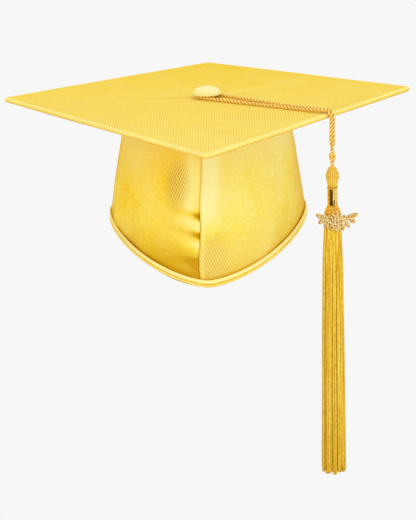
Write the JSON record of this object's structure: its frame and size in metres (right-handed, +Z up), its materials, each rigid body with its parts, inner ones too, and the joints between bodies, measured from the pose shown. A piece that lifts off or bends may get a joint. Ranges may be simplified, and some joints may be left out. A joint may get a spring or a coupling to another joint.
{
  "type": "graduation cap",
  "caption": "Satin-covered graduation cap: square board, pointed skull cap, covered button and a corded tassel with a charm.",
  "frame": {"origin": "middle of the head opening, level with the hem at the wearer's temples", "axes": "+Z up, square to the board; the wearer faces -Y, so the board's corners lie on the X and Y axes; +X is the wearer's left"},
  "size_m": [0.3378, 0.3378, 0.3176],
  "materials": {
    "board_satin": "shiny woven polyester satin",
    "skull_satin": "shiny woven polyester satin",
    "lining_satin": "back of the satin, duller",
    "binding_satin": "satin binding cut on the bias",
    "button_satin": "satin stretched over the button",
    "stiffener": "grey board",
    "interlining": "stiff white buckram",
    "sweatband_rib": "ribbed ribbon",
    "elastic": "woven elastic",
    "button_plastic": "moulded",
    "plated_steel": "nickel plated",
    "cord_rayon": "twisted shiny rayon cord",
    "tassel_rayon": "shiny rayon threads",
    "gilt_metal": "polished gilt",
    "charm_gilt": "sparkling gilt"
  },
  "bodies": {
    "cap": {"board_core": "stiffener", "board_cover_top": "board_satin", "board_cover_bottom": "board_satin", "crown_disc": "lining_satin", "front_panel_left": "skull_satin", "front_panel_right": "skull_satin", "back_panel": "skull_satin", "front_interlining_left": "interlining", "front_interlining_right": "interlining", "hem_binding": "binding_satin", "sweatband": "sweatband_rib", "elastic_casing": "skull_satin", "back_elastic": "elastic"},
    "button": {"button_cover": "button_satin", "button_shell": "button_plastic", "button_back_plate": "plated_steel", "button_rivet": "plated_steel", "rivet_washer": "plated_steel"},
    "tassel_loop": {"tassel_cord_loop": "cord_rayon"},
    "tassel_drop": {"tassel_cord_drop_far": "cord_rayon", "tassel_cord_drop_near": "cord_rayon", "tassel_knot": "cord_rayon"},
    "tassel_head": {"tassel_bulb": "tassel_rayon", "tassel_band": "gilt_metal", "tassel_skirt": "tassel_rayon", "charm_hook": "gilt_metal"},
    "charm": {"charm": "charm_gilt"}
  },
  "joints": [
    {"name": "button_spin", "type": "hinge", "parent": "cap", "child": "button", "pos_m": [0, 0, 0.1], "axis": [0, 0, 1], "continuous": true},
    {"name": "tassel_turn", "type": "hinge", "parent": "cap", "child": "tassel_loop", "pos_m": [0, 0, 0.1], "axis": [0, 0, 1], "range_deg": [-16, 0]},
    {"name": "tassel_lift", "type": "hinge", "parent": "tassel_loop", "child": "tassel_drop", "pos_m": [0.10032, -0.07575, 0.0962], "axis": [-0.7071, -0.7071, 0], "range_deg": [0, 80]},
    {"name": "tassel_sway", "type": "hinge", "parent": "tassel_drop", "child": "tassel_head", "pos_m": [0.09944, -0.07487, 0.05855], "axis": [0.7071, -0.7071, 0], "range_deg": [-30, 30]},
    {"name": "charm_swing", "type": "hinge", "parent": "tassel_head", "child": "charm", "pos_m": [0.10104, -0.08287, 0.023], "axis": [-1, 0, 0], "range_deg": [0, 80]}
  ]
}
